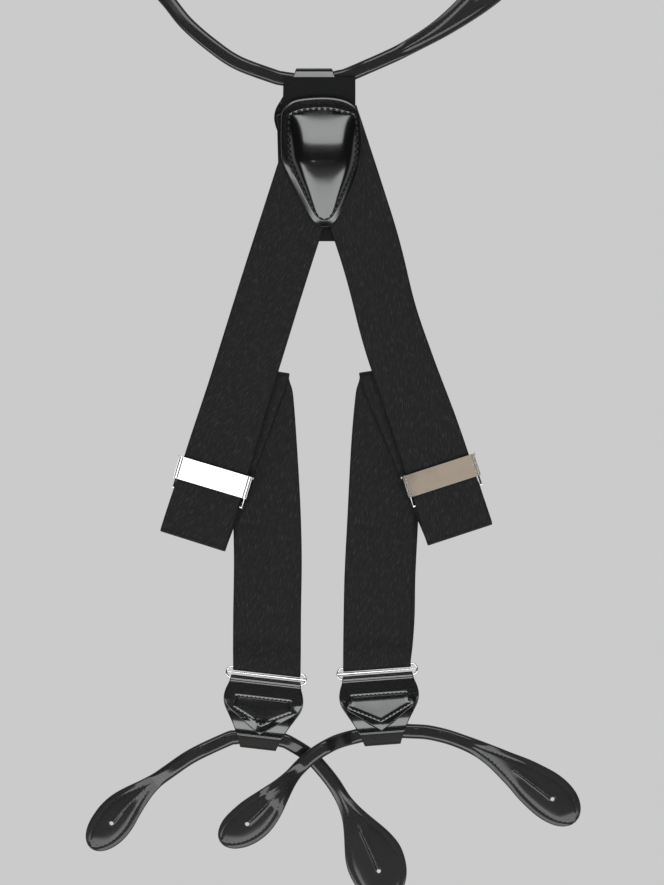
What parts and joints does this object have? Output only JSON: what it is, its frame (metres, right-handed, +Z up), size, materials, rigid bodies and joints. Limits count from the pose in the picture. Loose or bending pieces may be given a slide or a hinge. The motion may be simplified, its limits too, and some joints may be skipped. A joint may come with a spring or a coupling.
{
  "type": "suspenders",
  "caption": "Black formal button-on suspenders with moire webbing, patent leather back shield and ear straps, and polished clamp adjusters, laid folded flat.",
  "frame": {"origin": "on the surface the suspenders lie on, under the middle of their bounding box", "axes": "+X to the right of the laid-out suspenders, +Y from the front tabs to the back shield, +Z up"},
  "size_m": [0.2516, 0.496, 0.0149],
  "materials": {
    "webbing": "ribbed moire weave, slight sheen",
    "elastic": "matte woven elastic",
    "patent": "high gloss patent",
    "lining": "smooth matte lining leather",
    "foam": "dull felt padding",
    "nickel": "polished nickel plate"
  },
  "bodies": {
    "back": {"shield_front": "patent", "shield_padding": "foam", "shield_lining": "lining", "back_elastic": "elastic", "rear_tab": "patent", "rear_tab_facing": "patent", "left_webbing": "webbing", "right_webbing": "webbing"},
    "left_adjuster": {"left_adjuster_frame": "nickel", "left_adjuster_pin_inner": "nickel", "left_adjuster_pin_outer": "nickel", "left_strap_tail": "webbing"},
    "left_lever": {"left_adjuster_lever": "nickel"},
    "left_ring": {"left_loop": "nickel"},
    "left_front_tab": {"left_tab": "patent", "left_tab_flap": "patent"},
    "left_ear": {"left_ear_strap": "patent", "left_ear_lining": "lining"},
    "right_adjuster": {"right_adjuster_frame": "nickel", "right_adjuster_pin_inner": "nickel", "right_adjuster_pin_outer": "nickel", "right_strap_tail": "webbing"},
    "right_lever": {"right_adjuster_lever": "nickel"},
    "right_ring": {"right_loop": "nickel"},
    "right_front_tab": {"right_tab": "patent", "right_tab_flap": "patent"},
    "right_ear": {"right_ear_strap": "patent", "right_ear_lining": "lining"},
    "rear_ear": {"rear_ear_strap": "patent", "rear_ear_lining": "lining"}
  },
  "joints": [
    {"name": "left_adjuster_slide", "type": "slide", "parent": "back", "child": "left_adjuster", "axis": [0.2955, 0.9553, 0], "range_m": [-0.006, 0.04]},
    {"name": "left_lever_hinge", "type": "hinge", "parent": "left_adjuster", "child": "left_lever", "pos_m": [-0.05922, -0.02652, 0.0113], "axis": [-0.9583, 0.2857, 0], "range_deg": [0, 90]},
    {"name": "left_loop_hinge", "type": "hinge", "parent": "back", "child": "left_ring", "pos_m": [-0.03368, -0.12952, 0.00185], "axis": [-0.9936, 0.1132, 0], "range_deg": [0, 2]},
    {"name": "left_tab_hinge", "type": "hinge", "parent": "left_ring", "child": "left_front_tab", "pos_m": [-0.03434, -0.13528, 0.00185], "axis": [-0.9936, 0.1132, 0], "range_deg": [0, 5]},
    {"name": "right_adjuster_slide", "type": "slide", "parent": "back", "child": "right_adjuster", "axis": [-0.3112, 0.9503, 0], "range_m": [-0.006, 0.04]},
    {"name": "right_lever_hinge", "type": "hinge", "parent": "right_adjuster", "child": "right_lever", "pos_m": [0.05304, -0.02565, 0.0113], "axis": [-0.9516, -0.3074, 0], "range_deg": [0, 90]},
    {"name": "right_loop_hinge", "type": "hinge", "parent": "back", "child": "right_ring", "pos_m": [0.02218, -0.12731, 0.00185], "axis": [-0.9973, -0.0732, 0], "range_deg": [0, 35]},
    {"name": "right_tab_hinge", "type": "hinge", "parent": "right_ring", "child": "right_front_tab", "pos_m": [0.0226, -0.13309, 0.00185], "axis": [-0.9973, -0.0732, 0], "range_deg": [0, 60]},
    {"name": "left_ear_slide", "type": "hinge", "parent": "left_front_tab", "child": "left_ear", "pos_m": [-0.04081, -0.2115, 0.00285], "axis": [0, 0, 1], "range_deg": [-5.9, 5.9]},
    {"name": "right_ear_slide", "type": "hinge", "parent": "right_front_tab", "child": "right_ear", "pos_m": [0.03309, -0.244, 0.00285], "axis": [0, 0, 1], "range_deg": [-2.1, 2.1]},
    {"name": "rear_ear_slide", "type": "hinge", "parent": "back", "child": "rear_ear", "pos_m": [-0.01271, 0.2372, 0.00285], "axis": [0, 0, 1], "range_deg": [-4.2, 4.2]}
  ]
}
